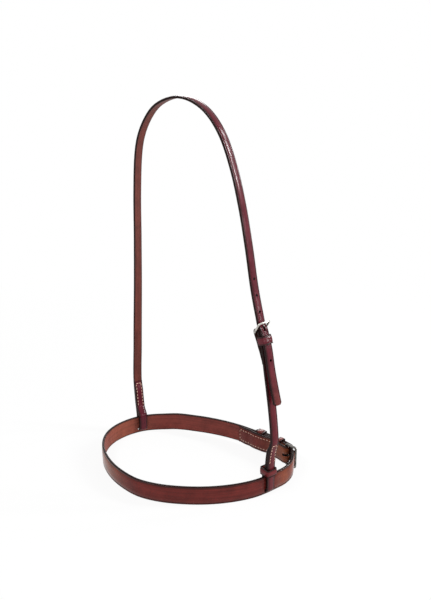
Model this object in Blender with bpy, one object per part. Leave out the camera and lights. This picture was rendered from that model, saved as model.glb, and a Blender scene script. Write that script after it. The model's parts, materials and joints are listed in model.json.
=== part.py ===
# Plain cavesson noseband for a bridle. A flat nose strap is buckled under the jaw, and a thin head strap
# is looped round it on both sides, goes over the poll and is buckled to a cheek strap on the near side.
# +X is the near side, -Y the nose, +Z up. The nose strap's lower edge stands on the ground plane.

import math

import bmesh
import bpy
from mathutils import Matrix, Vector
from mathutils.geometry import interpolate_bezier, intersect_line_line_2d

# Straps
nose_width = 0.0262
nose_thickness = 0.0036
head_width = 0.0127
head_thickness = 0.0035
edge_bevel = 0.0006
edge_bevel_head = 0.0005
lie_gap = 0.0003
strap_step = 0.0075
bend_step = 0.0035
bend_steps = 8

# Size of the nose loop and of the arch of the head strap
nose_loop_length = 0.2548
nose_loop_depth = 0.1990
arch_height = 0.500

# Jaw buckle
chin_wire_radius = 0.0016
chin_frame_length = 0.0172
chin_tongue_radius = 0.0012
chin_side_play = 0.0006
chin_strap_drop = 0.0005
chin_strap_lift = 0.0
chin_stand_off = 0.0
chin_turn_back = 0.088
chin_point_length = 0.070
chin_hole_radius = 0.0018
chin_hole_pitch = 0.022
chin_hole_count = 2
chin_keeper_length = 0.0075
chin_keeper_start = 0.0125
chin_rear_keeper_length = 0.012
chin_rear_keeper_start = 0.045
chin_floor_gap = 0.0005

# Head buckle on the near cheek
head_wire_radius = 0.0014
head_frame_length = 0.0165
head_tongue_radius = 0.0011
head_side_play = 0.0008
head_strap_drop = 0.0062
head_strap_lift = 0.0015
head_stand_off = 0.0030
head_turn_back = 0.042
head_point_length = 0.095
head_point_flare = 0.006
head_hole_radius = 0.0017
head_hole_pitch = 0.021
head_upper_hole_count = 3
head_lower_hole_count = 2
head_keeper_length = 0.0115
head_keeper_start = 0.006
head_buckle_lean = math.radians(18.5)

# Both buckles
pin_play = 0.0003
tongue_over = 0.0020
tongue_slot_play = 0.0005
tongue_ring_start = math.radians(120)
chin_buckle_angle = math.radians(-16.0)
chin_hole_slot = 0.0090
head_hole_slot = 0.0078
frame_corner_radius = 0.0022
chin_point_sides = (0.0105, 0.0080)
head_point_sides = (0.0030, 0.0030)

# Keepers
keeper_thickness = 0.0014
keeper_play = 0.0004
keeper_corner = 0.0013
keeper_bevel = 0.0003
closing_length = 0.012
skive_length = 0.014

# Loops of the head strap round the nose strap
near_loop_play = 0.0011
off_loop_play = 0.0016
loop_corner = 0.0020
loop_slot_height = 0.0055
loop_slot_length = 0.0161
loop_floor = 0.0058
near_closed_height = 0.044
off_closed_height = 0.038
loop_open_height = 0.027
off_sewn_height = 0.079
near_sewn_height = 0.078
turn_start_height = 0.084
off_turn_end_height = 0.360
near_turn_end_height = 0.450
loop_slack = math.radians(4)

# Runner on the near loop
runner_height = 0.0105
runner_lift = 0.0012
runner_depth_play = 0.0008

# Seams, each one waxed thread on a face of the leather
thread_radius = 0.0003
stitch_pitch = 0.0048
nose_seam_inset = 0.0050
head_seam_inset = 0.0026
seam_start = 0.003

# Shapes as shares. The nose loop runs anticlockwise from the jaw buckle, as shares of half its length and
# half its depth from its middle. The arch runs over the poll to the off side, as shares of the span
# between its two seats and of the height. The cheek strap runs down from the buckle in the same shares.
nose_outline_shares = (
    (0.668, 0.997), (0.519, 1.000), (0.372, 0.993), (0.231, 0.980), (0.091, 0.959), (-0.056, 0.919),
    (-0.185, 0.869), (-0.428, 0.752), (-0.707, 0.589), (-0.917, 0.310), (-0.994, 0.044), (-0.995, -0.262),
    (-0.908, -0.531), (-0.724, -0.766), (-0.456, -0.936), (-0.174, -1.008), (0.093, -0.990), (0.394, -0.811),
    (0.708, -0.462), (0.923, -0.025), (0.996, 0.410), (1.000, 0.677))
chin_heel_share = (0.772, 0.946)
arch_level_share = 0.232
arch_outline_shares = (
    (0.876, 0.551), (0.8355, 0.657), (0.792, 0.7555), (0.733, 0.850), (0.653, 0.9275), (0.537, 0.980),
    (0.380, 1.000), (0.214, 0.977), (0.1105, 0.927), (0.051, 0.862), (0.024, 0.7415), (0.0145, 0.601),
    (0.0006, 0.451), (-0.030, 0.281), (-0.055, 0.170), (-0.041, 0.100))
head_heel_share = (0.911, 0.445)
cheek_outline_shares = (
    (0.955, 0.406), (0.978, 0.347), (1.000, 0.295), (1.0215, 0.240), (1.037, 0.190), (1.0415, 0.156),
    (1.027, 0.124))
lift_start_share = 0.466
lift_end_share = 0.857
bend_start_share = 0.09
bend_end_share = 0.87
round_slot_share = 1.01
slot_shift_share = 0.40
slot_depth_share = 1.60
skive_share = 0.75

# Sizes that follow from those above
nose_pitch = nose_thickness + lie_gap
head_pitch = head_thickness + lie_gap
near_loop_offset = (nose_thickness + head_thickness) / 2 + near_loop_play
off_loop_offset = (nose_thickness + head_thickness) / 2 + off_loop_play
keeper_room = keeper_thickness + 2 * keeper_play - lie_gap
chin_lift = 2 * chin_wire_radius + chin_side_play + chin_floor_gap
swing_height = (loop_floor + nose_width) / 2


def clear_scene():
    for obj in list(bpy.data.objects):
        bpy.data.objects.remove(obj, do_unlink=True)
    for name in ("bridle_noseband", "cutters"):
        collection = bpy.data.collections.new(name)
        bpy.context.scene.collection.children.link(collection)
    return bpy.data.collections["bridle_noseband"], bpy.data.collections["cutters"]


def make_material(name, colour, roughness, metallic=0.0):
    material = bpy.data.materials.new(name)
    material.use_nodes = True
    shader = material.node_tree.nodes["Principled BSDF"]
    shader.inputs["Base Color"].default_value = (*colour, 1.0)
    shader.inputs["Roughness"].default_value = roughness
    shader.inputs["Metallic"].default_value = metallic
    return material


# Flat lines, drawn as lists of 2D points

def outward(direction):
    """The right-hand side of a direction, which is the outside of a line that runs anticlockwise."""
    return Vector((direction.y, -direction.x))


def ease(value, start, end):
    """Nought before start, one after end, and a smooth rise between them."""
    share = min(max((value - start) / (end - start), 0.0), 1.0)
    return share * share * (3 - 2 * share)


def smooth_line(points, step=strap_step):
    """A smooth curve through points. Its first and last point only steer the ends."""
    line = [points[1]]
    for before, start, end, after in zip(points, points[1:], points[2:], points[3:]):
        span = (end - start).length
        handle_out = start + (end - before).normalized() * span / 3
        handle_in = end - (after - start).normalized() * span / 3
        count = max(2, math.ceil(span / step) + 1)
        line += interpolate_bezier(start, handle_out, handle_in, end, count)[1:]
    return [Vector(point[:2]) for point in line]


def line_length(line):
    return sum((end - start).length for start, end in zip(line, line[1:]))


def point_at(line, distance):
    """The point at a distance along a line, which runs straight on past its ends."""
    for start, end in zip(line, line[1:]):
        span = (end - start).length
        if distance <= span or end is line[-1]:
            return start.lerp(end, distance / span)
        distance -= span


def place_at(line, distance):
    """The point and the mean direction round a distance along a line."""
    before = point_at(line, distance - head_thickness)
    after = point_at(line, distance + head_thickness)
    return point_at(line, distance), (after - before).normalized()


def beside(line, start, end, shift):
    """A copy of a stretch of a line, moved outwards by shift(distance)."""
    count = math.ceil(abs(end - start) / bend_step)
    copy = []
    for index in range(count + 1):
        distance = start + (end - start) * index / count
        point, direction = place_at(line, distance)
        copy.append(point + outward(direction) * shift(distance))
    return copy


def meeting(line, other):
    """The distance along a line at which it meets another."""
    distance = 0.0
    for start, end in zip(line, line[1:]):
        for from_point, to_point in zip(other, other[1:]):
            hit = intersect_line_line_2d(start, end, from_point, to_point)
            if hit:
                return distance + (hit - start).length
        distance += (end - start).length
    raise ValueError("the tongue misses its strap")


# Solids

def add_object(name, mesh, material, parent, pivot, collection):
    """An object whose mesh is given in world places and whose origin is at its pivot."""
    mesh.transform(Matrix.Translation(-pivot))
    mesh.materials.clear()
    if material:
        mesh.materials.append(material)
    obj = bpy.data.objects.new(name, mesh)
    collection.objects.link(obj)
    obj.parent = parent
    obj.location = pivot - (parent_place(parent) if parent else Vector())
    return obj


def parent_place(parent):
    place = parent.location.copy()
    while parent.parent:
        parent = parent.parent
        place += parent.location
    return place


def curve_mesh(curve, plane):
    """The mesh of a curve drawn in a plane, with its caps welded on."""
    obj = bpy.data.objects.new("drawn", curve)
    bpy.context.scene.collection.objects.link(obj)
    bpy.context.view_layer.update()
    depsgraph = bpy.context.evaluated_depsgraph_get()
    mesh = bpy.data.meshes.new_from_object(obj.evaluated_get(depsgraph))
    bpy.data.objects.remove(obj)
    bm = bmesh.new()
    bm.from_mesh(mesh)
    bmesh.ops.remove_doubles(bm, verts=bm.verts, dist=lie_gap / 100)
    bmesh.ops.recalc_face_normals(bm, faces=bm.faces)
    bm.to_mesh(mesh)
    bm.free()
    mesh.transform(plane)
    return mesh


def poly_curve(line, closed):
    curve = bpy.data.curves.new("line", "CURVE")
    curve.dimensions = "2D"
    curve.fill_mode = "NONE"
    spline = curve.splines.new("POLY")
    spline.points.add(len(line) - 1)
    for spot, point in zip(spline.points, line):
        spot.co = (point.x, point.y, 0.0, 1.0)
    spline.use_cyclic_u = closed
    return curve


def strap_mesh(line, plane, width, thickness, bevel, closed=False):
    """A strap that follows a line in a plane. Its section is a flat bar with bevelled edges."""
    half_width = width / 2
    half_thick = thickness / 2
    corners = []
    for sign_x, sign_y in ((1, 1), (-1, 1), (-1, -1), (1, -1)):
        inner = Vector((sign_x * (half_thick - bevel), sign_y * half_width))
        outer = Vector((sign_x * half_thick, sign_y * (half_width - bevel)))
        corners += [outer, inner] if sign_x * sign_y > 0 else [inner, outer]
    section = bpy.data.objects.new("section", poly_curve(corners, True))
    bpy.context.scene.collection.objects.link(section)
    curve = poly_curve(line, closed)
    curve.bevel_mode = "OBJECT"
    curve.bevel_object = section
    curve.use_fill_caps = not closed
    mesh = curve_mesh(curve, plane)
    bpy.data.objects.remove(section)
    return mesh


def wire_mesh(line, plane, radius, closed=False):
    curve = poly_curve(line, closed)
    curve.bevel_depth = radius
    curve.bevel_resolution = 2
    curve.use_fill_caps = not closed
    return curve_mesh(curve, plane)


def rounded_rectangle(low, high, radius):
    """A closed line round the box from low to high, with round corners."""
    line = []
    corners = ((high.x, high.y, 0), (low.x, high.y, 90), (low.x, low.y, 180), (high.x, low.y, 270))
    for x, y, turn in corners:
        centre = Vector((x - math.copysign(radius, x - low.x - high.x + x),
                         y - math.copysign(radius, y - low.y - high.y + y)))
        for step in range(bend_steps // 2 + 1):
            angle = math.radians(turn + 90 * step / (bend_steps // 2))
            line.append(centre + Vector((math.cos(angle), math.sin(angle))) * radius)
    return line


def skive_drop(distance, thickness):
    """How much of the grain face is pared off, at a distance from a strap's end."""
    return thickness * skive_share * (1 - ease(distance, 0, skive_length))


def skive(mesh, plane, line, end, inwards, thickness):
    """Pares one end of a strap thin. Inwards is 1 if the line runs on from there."""
    back = plane.inverted()
    tip, direction = place_at(line, end)
    for vertex in mesh.vertices:
        flat = (back @ vertex.co).xy
        distance = (flat - tip).dot(direction) * inwards
        if not -lie_gap < distance < skive_length:
            continue
        point, direction_there = place_at(line, end + inwards * distance)
        out = outward(direction_there)
        height = (flat - point).dot(out)
        if abs(height) < (thickness + lie_gap) / 2:
            share = height / thickness + 1 / 2
            move = out * skive_drop(distance, thickness) * share
            vertex.co -= plane.to_3x3() @ move.to_3d()
    return mesh


def reshape(mesh, move):
    for vertex in mesh.vertices:
        vertex.co = move(vertex.co)
    return mesh


def sharp_shading(obj):
    obj.data.shade_smooth()
    obj.data.set_sharp_from_angle(angle=math.radians(35))


def cut(target, cutter):
    modifier = target.modifiers.new("cuts", "BOOLEAN")
    modifier.operation = "DIFFERENCE"
    modifier.object = cutter
    cutter.hide_render = True
    cutter.display_type = "WIRE"


def add_punch(bm, place, radius, slot, depth):
    """A round-ended punch along the place's Z axis, drawn out along its X axis to the slot's length."""
    turned = Matrix.Rotation(math.pi / 12, 4, "Z")
    made = bmesh.ops.create_cone(bm, cap_ends=True, segments=12, radius1=radius, radius2=radius, depth=depth,
                                 matrix=turned)
    for vertex in made["verts"]:
        vertex.co.x += math.copysign(slot / 2 - radius, vertex.co.x)
        vertex.co = place @ vertex.co


def flat_place(plane, point, direction, shift=0.0, across=0.0):
    """A place on a strap in a plane: X runs along it, Y across it and Z out of its outer face."""
    out = outward(direction)
    spot = point + out * shift
    turn = Matrix(((direction.x, 0, out.x, spot.x), (direction.y, 0, out.y, spot.y),
                   (0, 1, 0, across), (0, 0, 0, 1)))
    return plane @ turn


# Buckles. Each is worked out in the plane of its strap's line, from its heel bar.

class Buckle:
    """Along points from the heel bar to the far bar, and out to the side that the tongue lies on."""

    def __init__(self, heel, along, out, thickness, wire, length, tongue, drop, lift, stand_off):
        self.heel, self.along, self.out = heel, along, out
        self.thickness, self.wire, self.length, self.tongue = thickness, wire, length, tongue
        self.drop = drop
        self.pitch = thickness + lie_gap
        self.wrap_radius = wire + pin_play + thickness / 2
        self.wrap_outside = self.wrap_radius + thickness / 2
        self.over = self.wrap_radius + self.pitch + lift
        rise = drop + thickness / 2 + lie_gap + stand_off + wire
        self.tilt = math.asin(rise / length)
        self.far = Vector((length * math.cos(self.tilt), length * math.sin(self.tilt)))
        self.ring_radius = wire + pin_play + tongue
        self.opening = 2 * self.wrap_radius - self.pitch

    def spot(self, along, out):
        return self.heel + self.along * along + self.out * out

    def wrap(self):
        """The turn of the strap round the heel bar, from its outer side to its inner side."""
        return self.round_heel(self.wrap_radius, 0, math.pi, bend_steps)

    def round_heel(self, radius, start, end, count):
        """Points round the heel bar. The angle is measured from the outer side towards the far bar."""
        angles = [start + (end - start) * index / count for index in range(count + 1)]
        return [self.spot(math.sin(a) * radius, math.cos(a) * radius) for a in angles]

    def dip(self):
        """The strap's way over the heel bar and in under the far bar."""
        start = self.far.x * bend_start_share
        end = self.far.x * bend_end_share
        line = []
        for index in range(bend_steps + 1):
            along = start + (end - start) * index / bend_steps
            fall = (1 - math.cos(math.pi * index / bend_steps)) / 2
            line.append(self.spot(along, self.over + (self.drop - self.over) * fall))
        return line + [self.spot(self.far.x, self.drop)]

    def tongue_line(self):
        """From the end of the ring round the heel bar to the tip on the far bar."""
        top = self.far.y + self.wire + lie_gap + self.tongue
        rise = top - self.ring_radius
        level_share = 1 - self.wire / self.far.x
        line = self.round_heel(self.ring_radius, tongue_ring_start, 2 * math.pi, 2 * bend_steps)
        for index in range(1, bend_steps + 1):
            share = index / bend_steps
            line.append(self.spot(self.far.x * share, self.ring_radius + rise * ease(share, 0, level_share)))
        return line + [self.spot(self.far.x + tongue_over, top)]

    def frame_plane(self, plane):
        """The plane of the frame: X from the heel bar to the far bar and Y across the strap."""
        frame = self.along * self.far.x + self.out * self.far.y
        return flat_place(plane, self.heel, frame.normalized())

    def frame_line(self, width, play):
        half = width / 2 + play + self.wire
        return rounded_rectangle(Vector((0, -half)), Vector((self.length, half)), frame_corner_radius)

    def near_opening(self, distance, keeper_end):
        """How far the turn-back stands off beyond its pitch, at a distance behind the heel bar."""
        heel = (self.opening - keeper_room) * (1 - ease(distance, 0, keeper_end))
        return heel + keeper_room * (1 - ease(distance, keeper_end, keeper_end + closing_length))


def chin_opening(buckle, distance):
    """The first keeper lies by the heel bar, and the turn-back bulges again over the second."""
    first = buckle.near_opening(distance, chin_keeper_start + chin_keeper_length)
    start = chin_rear_keeper_start
    end = start + chin_rear_keeper_length
    rise = ease(distance, start - closing_length, start)
    fall = ease(distance, end, end + closing_length)
    return first + keeper_room * (rise - fall)


# The nose strap

def nose_point(share):
    return Vector((share[0] * nose_loop_length / 2, share[1] * nose_loop_depth / 2))


def chin_height(y):
    """How far the nose strap rises towards the jaw buckle, whose frame and keepers reach below it."""
    half = nose_loop_depth / 2
    return chin_lift * ease(y, lift_start_share * half, lift_end_share * half)


def lift_chin(point):
    return Vector((point.x, point.y, point.z + chin_height(point.y)))


def nose_lines(buckle):
    """The band's own line, from the buckle round to the far bar, and the whole strap's line."""
    wrap = buckle.wrap()
    dip = buckle.dip()
    around = [nose_point(share) for share in nose_outline_shares]
    band = smooth_line([wrap[1], wrap[0], *around, dip[-1], dip[-2]])
    turn_back = beside(band, chin_turn_back, 0, lambda s: -buckle.pitch - chin_opening(buckle, s))
    tail = beside(band, 0, chin_point_length, lambda s: buckle.pitch)
    front = dip[::-1] + tail
    whole = turn_back[:-1] + wrap[::-1][:-1] + band[:-1] + front
    return band, front, whole


def seat(band, going_up):
    """Where the arch's plane crosses the nose strap on one side: the point and the strap's direction."""
    level = arch_level_share * nose_loop_depth / 2
    distance = 0.0
    for start, end in zip(band, band[1:]):
        crosses = start.y < level <= end.y if going_up else start.y > level >= end.y
        if crosses:
            share = (level - start.y) / (end.y - start.y)
            return place_at(band, distance + (end - start).length * share)
        distance += (end - start).length
    raise ValueError("the arch misses the nose strap")


# The head strap and the cheek strap, in the arch's plane

class Arch:
    def __init__(self, band):
        self.near, near_direction = seat(band, True)
        self.off, off_direction = seat(band, False)
        self.level = self.near.y
        self.near_turn = math.atan2(-near_direction.x, near_direction.y)
        self.off_slot_turn = math.atan2(off_direction.x, -off_direction.y)
        self.off_turn = self.off_slot_turn + loop_slack
        self.plane = Matrix.Translation((0, self.level, 0)) @ Matrix.Rotation(math.pi / 2, 4, "X")
        self.span = self.near.x - self.off.x
        along = Vector((-math.sin(head_buckle_lean), math.cos(head_buckle_lean)))
        self.buckle = Buckle(self.spot(head_heel_share), along, outward(along), head_thickness,
                             head_wire_radius, head_frame_length, head_tongue_radius, head_strap_drop,
                             head_strap_lift, head_stand_off)

    def spot(self, share):
        return Vector((self.off.x + share[0] * self.span, share[1] * arch_height))

    def loop_bottom(self, centre, offset, side):
        """The strap's way through its slot, from the outer run to the inner one. Side is 1 or -1."""
        reach = offset - loop_corner
        line = []
        for sign in (1, -1):
            corner = Vector((centre + side * sign * reach, loop_floor + loop_corner))
            for index in range(bend_steps // 2 + 1):
                angle = math.pi / 2 * index / (bend_steps // 2)
                if sign < 0:
                    angle = math.pi / 2 - angle
                line.append(corner + Vector((side * sign * math.cos(angle), -math.sin(angle))) * loop_corner)
        return line

    def run(self, centre, offset, side):
        """Three points up the outer run, from the loop's bottom to above the nose strap."""
        x = centre + side * offset
        return [Vector((x, z)) for z in (loop_floor + loop_corner, nose_width, near_closed_height)]

    def loop_end(self, main, offset, closed, top):
        """The inner run, from the loop's bottom up to where it is sewn against the outer one."""
        def shift(distance):
            height = loop_floor + loop_corner + distance
            apart = 2 * offset - head_pitch
            return -head_pitch - apart * (1 - ease(height, loop_open_height, closed))
        return beside(main, 0, top - loop_floor - loop_corner, shift)

    def cheek_lines(self):
        """The cheek strap's main run upwards from its loop, and its whole line."""
        wrap = self.buckle.wrap()
        points = [self.spot(share) for share in cheek_outline_shares][::-1]
        run = self.run(self.near.x, near_loop_offset, 1)
        main = run[:-1] + smooth_line([run[1], run[2], *points, wrap[0], wrap[1]])
        turn_back = self.turn_back(main)
        loop = self.loop_bottom(self.near.x, near_loop_offset, 1)
        end = self.loop_end(main, near_loop_offset, near_closed_height, near_sewn_height)
        return main, end[::-1][:-1] + loop[::-1][:-1] + main[:-1] + wrap + turn_back[1:]

    def turn_back(self, main):
        top = line_length(main)
        keeper_end = head_keeper_start + head_keeper_length
        return beside(main, top, top - head_turn_back,
                      lambda s: -head_pitch - self.buckle.near_opening(top - s, keeper_end))

    def head_lines(self, cheek):
        """The off leg's main run upwards from its loop, and the head strap's whole line from its point."""
        top = line_length(cheek)
        keeper_end = top - head_keeper_start - head_keeper_length
        tip = top - head_point_length

        def shift(distance):
            share = max(keeper_end - distance, 0) / (keeper_end - tip)
            return head_pitch + head_strap_lift + head_point_flare * share * share
        tail = beside(cheek, tip, top, shift)
        dip = self.buckle.dip()
        run = self.run(self.off.x, off_loop_offset, -1)[::-1]
        points = [self.spot(share) for share in arch_outline_shares]
        arch = smooth_line([dip[-2], dip[-1], *points, run[1], run[2]])
        down = arch[:-1] + run[1:]
        off_main = mirrored(down[::-1])
        end = mirrored(self.loop_end(off_main, off_loop_offset, off_closed_height, off_sewn_height))
        loop = self.loop_bottom(self.off.x, off_loop_offset, -1)
        return off_main, tail + dip + down[1:-1] + loop + end[1:]

    def turn(self, point):
        """Turns the foot of each leg so that its loop lies flat on the nose strap."""
        if point.x > (self.near.x + self.off.x) / 2:
            centre, angle, end = self.near, self.near_turn, near_turn_end_height
        else:
            centre, angle, end = self.off, self.off_turn, off_turn_end_height
        turn = Matrix.Rotation(angle * (1 - ease(point.z, turn_start_height, end)), 3, "Z")
        pivot = Vector((centre.x, self.level, 0))
        return pivot + turn @ (point - pivot)


def mirrored(line):
    """The same line seen from behind, so that its outside changes over."""
    return [Vector((-point.x, point.y)) for point in line]


def seam_mesh(plane, line, start, end, shift, reach):
    """A thread sewn up one side of a strap, across and down the other, on the face at shift(distance)."""
    along = max(2, round(abs(end - start) / stitch_pitch))
    over = max(2, round(2 * reach / stitch_pitch))
    stops = [(start + (end - start) * index / along, reach) for index in range(along + 1)]
    stops += [(end, reach * (1 - 2 * index / over)) for index in range(1, over)]
    stops += [(distance, -across) for distance, across in reversed(stops[:along + 1])]
    curve = bpy.data.curves.new("seam", "CURVE")
    curve.dimensions = "3D"
    curve.bevel_depth = thread_radius
    curve.bevel_resolution = 1
    curve.use_fill_caps = True
    spline = curve.splines.new("POLY")
    spline.points.add(len(stops) - 1)
    for spot, (distance, across) in zip(spline.points, stops):
        point, direction = place_at(line, distance)
        point += outward(direction) * shift(distance)
        spot.co = (point.x, point.y, across, 1.0)
    return curve_mesh(curve, plane)


def keeper_mesh(plane, line, distance, width, thickness, lift, length):
    """A keeper round a strap and the point that lies on it, which may stand off by the lift."""
    point, direction = place_at(line, distance)
    place = flat_place(plane, point, direction)
    section = place @ Matrix.Rotation(-math.pi / 2, 4, "Y")
    room = keeper_play + keeper_thickness / 2
    low = Vector((-thickness / 2 - room, -width / 2 - room))
    high = Vector((thickness * 1.5 + lie_gap + lift + room, width / 2 + room))
    return strap_mesh(rounded_rectangle(low, high, keeper_corner), section, length, keeper_thickness,
                      keeper_bevel, closed=True)


def build():
    parts, cutters = clear_scene()
    leather = make_material("bridle_leather", (0.16, 0.035, 0.030), 0.42)
    metal = make_material("nickel_plate", (0.72, 0.71, 0.69), 0.18, 1.0)
    thread = make_material("waxed_thread", (0.42, 0.22, 0.18), 0.7)

    chin_along = Vector((math.cos(chin_buckle_angle), math.sin(chin_buckle_angle)))
    chin = Buckle(nose_point(chin_heel_share), chin_along, -outward(chin_along), nose_thickness,
                  chin_wire_radius, chin_frame_length, chin_tongue_radius, chin_strap_drop,
                  chin_strap_lift, chin_stand_off)
    band, front, nose_line = nose_lines(chin)
    arch = Arch(band)
    cheek, cheek_line = arch.cheek_lines()
    off_main, head_line = arch.head_lines(cheek)
    head = arch.buckle

    behind = Matrix.Diagonal((-1, 1, 1, 1))
    nose_plane = Matrix.Translation((0, 0, nose_width / 2))
    chin_plane = Matrix.Translation((0, 0, nose_width / 2 + chin_lift))
    root = bpy.data.objects.new("noseband", None)
    parts.objects.link(root)
    swing = bpy.data.objects.new("head_strap_swing", None)
    parts.objects.link(swing)
    swing.parent = root
    swing.location = (0, arch.level, swing_height)
    made = {}

    def add(name, mesh, material, parent=root, pivot=Vector()):
        made[name] = add_object(name, mesh, material, parent, Vector(pivot), parts)
        sharp_shading(made[name])
        return made[name]

    # Nose strap
    mesh = strap_mesh(nose_line, nose_plane, nose_width, nose_thickness, edge_bevel)
    skive(mesh, nose_plane, nose_line, 0, 1, nose_thickness)
    nose_band = add("nose_band", reshape(mesh, lift_chin), leather)

    # Jaw buckle: the frame turns on its heel bar and carries the tongue
    chin_pivot = chin_plane @ chin.heel.to_3d()
    frame = add("chin_buckle_frame", wire_mesh(chin.frame_line(nose_width, chin_side_play),
                chin.frame_plane(chin_plane), chin.wire, closed=True), metal, root, chin_pivot)
    mesh = wire_mesh(chin.tongue_line(), chin_plane, chin.tongue)
    add("chin_buckle_tongue", mesh, metal, frame, chin_pivot)
    for name, start, length in (("chin_front_keeper", chin_keeper_start, chin_keeper_length),
                                ("chin_rear_keeper", chin_rear_keeper_start, chin_rear_keeper_length)):
        add(name, keeper_mesh(chin_plane, band, start + length / 2, nose_width, nose_thickness,
                              chin_strap_lift, length), leather)
    thread_shift = lie_gap + thread_radius
    inner_face = nose_pitch + nose_thickness / 2 + thread_shift
    add("chin_buckle_thread", seam_mesh(
        chin_plane, band, chin_keeper_start + chin_keeper_length + seam_start, chin_turn_back - seam_start,
        lambda s: skive_drop(chin_turn_back - s, nose_thickness) - inner_face - chin_opening(chin, s),
        nose_width / 2 - nose_seam_inset), thread)

    # Head strap and cheek strap
    pivot = swing.location
    straps = {}
    for name, line in (("head_strap", head_line), ("near_cheek_strap", cheek_line)):
        mesh = strap_mesh(line, arch.plane, head_width, head_thickness, edge_bevel_head)
        skive(mesh, arch.plane, line, line_length(line), -1, head_thickness)
        if name == "near_cheek_strap":
            skive(mesh, arch.plane, line, 0, 1, head_thickness)
        straps[name] = add(name, reshape(mesh, arch.turn), leather, swing, pivot)

    # Head buckle
    head_pivot = arch.turn(arch.plane @ head.heel.to_3d())
    mesh = wire_mesh(head.frame_line(head_width, head_side_play), head.frame_plane(arch.plane), head.wire,
                     closed=True)
    frame = add("head_buckle_frame", reshape(mesh, arch.turn), metal, swing, head_pivot)
    mesh = wire_mesh(head.tongue_line(), arch.plane, head.tongue)
    add("head_buckle_tongue", reshape(mesh, arch.turn), metal, frame, head_pivot)
    top = line_length(cheek)
    keeper_middle = top - head_keeper_start - head_keeper_length / 2
    mesh = keeper_mesh(arch.plane, cheek, keeper_middle, head_width, head_thickness, head_strap_lift,
                       head_keeper_length)
    add("head_keeper", reshape(mesh, arch.turn), leather, swing, pivot)
    inner_face = head_pitch + head_thickness / 2 + thread_shift
    outer_face = head_thickness / 2 + thread_shift
    keeper_end = head_keeper_start + head_keeper_length
    mesh = seam_mesh(arch.plane, cheek, top - keeper_end - seam_start, top - head_turn_back + seam_start,
                     lambda s: skive_drop(s - top + head_turn_back, head_thickness) - inner_face
                     - head.near_opening(top - s, keeper_end), head_width / 2 - head_seam_inset)
    add("head_buckle_thread", reshape(mesh, arch.turn), thread, swing, pivot)

    # Threads of the two loops, one on each face
    foot = loop_floor + loop_corner
    for side, line, seam_low, seam_top, plane in (
            ("near", cheek, near_closed_height, near_sewn_height, arch.plane),
            ("off", off_main, off_closed_height, off_sewn_height, arch.plane @ behind)):
        seam_end = seam_top - foot
        for face, shift in (("outer", lambda s: outer_face),
                            ("inner", lambda s: skive_drop(seam_end - s, head_thickness) - inner_face)):
            mesh = seam_mesh(plane, line, seam_low + seam_start - foot, seam_end - seam_start, shift,
                             head_width / 2 - head_seam_inset)
            if side == "off":
                mesh.flip_normals()
            add(f"{side}_loop_{face}_thread", reshape(mesh, arch.turn), thread, swing, pivot)

    # Runner on the near loop
    depth = near_loop_offset + head_thickness / 2 + runner_depth_play + keeper_thickness / 2
    half = head_width / 2 + keeper_play + keeper_thickness / 2
    line = rounded_rectangle(Vector((-depth, -half)), Vector((depth, half)), keeper_corner)
    height = nose_width + runner_lift + runner_height / 2
    place = Matrix.Translation((arch.near.x, arch.level, height))
    mesh = strap_mesh(line, place, runner_height, keeper_thickness, keeper_bevel, closed=True)
    add("near_loop_runner", reshape(mesh, arch.turn), leather, swing, pivot)

    cut_nose_band(nose_band, front, chin, arch, chin_plane, cutters)
    cut_head_straps(straps, head_line, head, arch, cutters)
    stand_on_origin(root, made)


def cutter_object(name, bm, target, cutters, move=None):
    bm.normal_update()
    bmesh.ops.recalc_face_normals(bm, faces=bm.faces)
    mesh = bpy.data.meshes.new(name)
    bm.to_mesh(mesh)
    bm.free()
    if move:
        reshape(mesh, move)
    pivot = parent_place(target)
    cutter = add_object(name, mesh, None, target.parent, pivot, cutters)
    cut(target, cutter)


def add_tongue_slot(bm, buckle, plane):
    """The gap in the turn round the heel bar, where the tongue's ring sits."""
    radius = buckle.wrap_outside + lie_gap / 2
    depth = 2 * (buckle.tongue + tongue_slot_play)
    bmesh.ops.create_cone(bm, cap_ends=True, segments=4 * bend_steps, radius1=radius, radius2=radius,
                          depth=depth, matrix=plane @ Matrix.Translation(buckle.heel.to_3d()))


def add_holes(bm, line, plane, buckle, radius, slot, pitch, heel_side, before, after):
    """The hole that the tongue is in, drawn out towards the heel, and the round ones beside it."""
    meet = meeting(line, buckle.tongue_line()[-bend_steps - 1:])
    for index in range(-before, after + 1):
        centre = meet + index * pitch
        length = 2 * radius * round_slot_share
        depth = buckle.thickness + lie_gap
        if index == 0:
            centre += heel_side * (slot / 2 - radius) * slot_shift_share
            length = slot
            depth = buckle.thickness * slot_depth_share
        point, direction = place_at(line, centre)
        add_punch(bm, flat_place(plane, point, direction), radius, length, depth)


def add_point(bm, plane, line, end, inwards, width, thickness, sides):
    """Blocks that take the corners off a strap's end. Inwards is 1 if the line runs on from there."""
    along, across = sides
    point, direction = place_at(line, end + inwards * along / 2)
    place = flat_place(plane, point, direction)
    size = Matrix.Diagonal((3 * along, 2 * across, thickness + lie_gap, 1))
    for side in (1, -1):
        corner = Matrix.Translation((0, side * (width - across) / 2, 0))
        turn = Matrix.Rotation(inwards * side * math.atan2(across, along), 4, "Z")
        off = Matrix.Translation((0, side * across, 0))
        bmesh.ops.create_cube(bm, matrix=place @ corner @ turn @ off @ size)


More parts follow.
